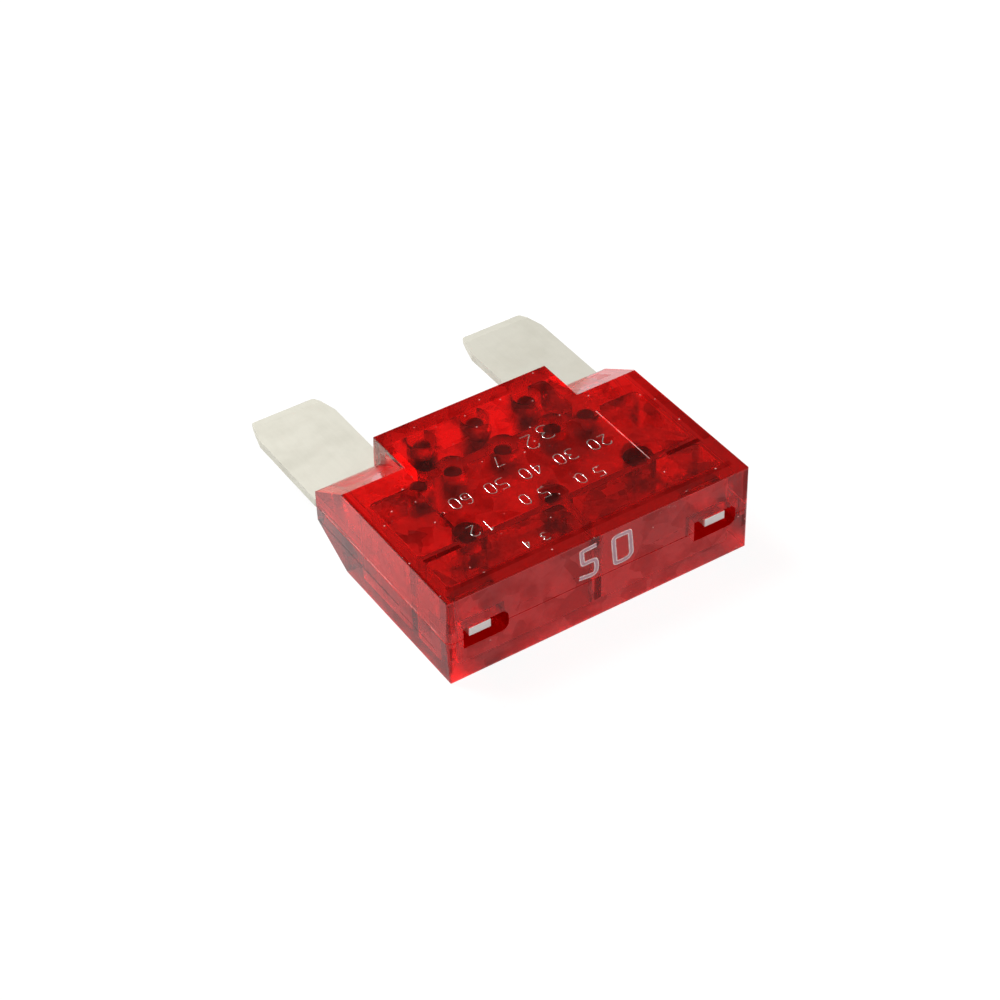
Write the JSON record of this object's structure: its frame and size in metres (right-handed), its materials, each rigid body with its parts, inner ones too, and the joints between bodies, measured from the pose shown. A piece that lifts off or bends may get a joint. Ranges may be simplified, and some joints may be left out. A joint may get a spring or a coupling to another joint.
{
  "type": "automotive blade fuse",
  "caption": "Large automotive blade fuse: clear red two-part housing round one stamped strip with flat blades, test tabs and a fusible link.",
  "frame": {"origin": "under the middle of the fuse's bounding box, on the surface that the fuse lies on", "axes": "+X along the width, +Y along the length from the end face with the test slots towards the blade tips, +Z through the thickness"},
  "size_m": [0.0292, 0.0331, 0.0085],
  "materials": {
    "housing": "gloss",
    "strip": "matte",
    "rating_print": "satin"
  },
  "bodies": {
    "root": {"housing_lower": "housing", "housing_upper": "housing", "fuse_strip": "strip"}
  },
  "joints": []
}
